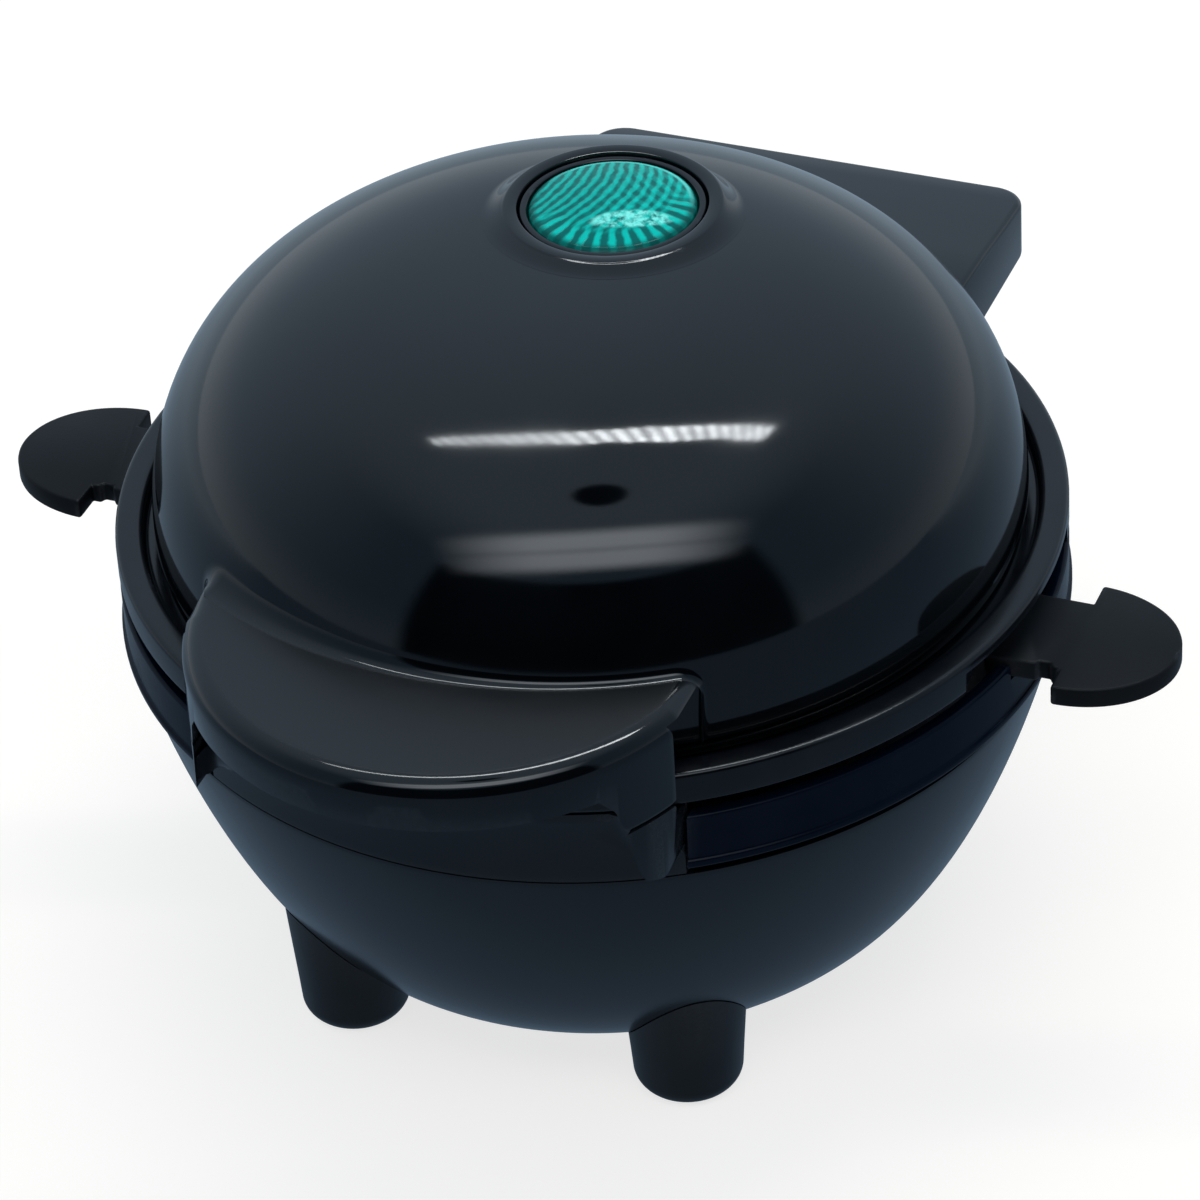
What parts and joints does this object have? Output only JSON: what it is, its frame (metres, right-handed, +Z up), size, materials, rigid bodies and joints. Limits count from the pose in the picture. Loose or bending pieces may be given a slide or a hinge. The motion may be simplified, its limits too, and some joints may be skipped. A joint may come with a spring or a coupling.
{
  "type": "donut maker",
  "caption": "Tabletop donut maker: a domed lid with an indicator lamp and front handle hinges at the back of a round bowl on short round legs, with flat side tabs.",
  "frame": {"origin": "centre of the object's bounding box, on the plane its four feet stand on, lid closed", "axes": "+Z up, -Y towards the front handle, +Y towards the hinge, +X to the right seen from the front"},
  "size_m": [0.1692, 0.1722, 0.1082],
  "materials": {
    "gloss_black": "high gloss moulded thermoset, blue-black",
    "satin_black": "satin moulded plastic, blue-black",
    "matte_black": "fine matte moulded plastic",
    "tab_black": "fine matte moulded plastic",
    "leg_black": "soft satin moulded plastic",
    "lens_green": "clear teal-green acrylic with prismatic ribs inside",
    "neon_glass": "clear glass bulb",
    "nonstick_coating": "cast plate with a dark grey non-stick coating",
    "heater_sheath": "heat-tinted tubular heater sheath",
    "aluminium_sheet": "plain pressed sheet",
    "steel": "zinc plated, semi-bright",
    "white_ceramic": "off-white moulded insulator",
    "black_rubber": "matte rubber bushing",
    "live_sleeve": "brown silicone sleeve",
    "neutral_sleeve": "blue silicone sleeve",
    "earth_sleeve": "green-yellow silicone sleeve"
  },
  "bodies": {
    "base": {"base_ring": "satin_black", "base_shell": "gloss_black", "lower_grip": "gloss_black", "hinge_bracket": "satin_black", "hinge_pin": "steel", "side_tab_left": "tab_black", "side_tab_right": "tab_black", "leg_front_left": "leg_black", "leg_front_right": "leg_black", "leg_rear_left": "leg_black", "leg_rear_right": "leg_black", "bottom_cover": "matte_black", "lower_plate": "nonstick_coating", "lower_heating_element": "heater_sheath", "lower_heat_pan": "aluminium_sheet", "thermostat": "white_ceramic", "thermal_fuse": "steel", "terminal_block": "white_ceramic", "cord_inlet": "black_rubber", "live_wire": "live_sleeve", "neutral_wire": "neutral_sleeve", "earth_wire": "earth_sleeve", "lower_plate_screw_1": "steel", "bottom_cover_screw_1": "steel", "lower_plate_screw_2": "steel", "bottom_cover_screw_2": "steel", "lower_plate_screw_3": "steel", "bottom_cover_screw_3": "steel", "lower_plate_screw_4": "steel", "bottom_cover_screw_4": "steel"},
    "lid": {"lid_shell": "gloss_black", "lid_ring": "satin_black", "hinge_cover": "gloss_black", "lamp_bezel": "satin_black", "lamp_lens": "lens_green", "lamp_holder": "matte_black", "neon_lamp": "neon_glass", "upper_plate": "nonstick_coating", "upper_heating_element": "heater_sheath", "upper_heat_pan": "aluminium_sheet", "upper_plate_screw_1": "steel", "upper_plate_screw_2": "steel", "upper_plate_screw_3": "steel", "upper_plate_screw_4": "steel"}
  },
  "joints": [
    {"name": "lid_hinge", "type": "hinge", "parent": "base", "child": "lid", "pos_m": [0, 0.07815, 0.063], "axis": [-1, 0, 0], "range_deg": [0, 100]}
  ]
}
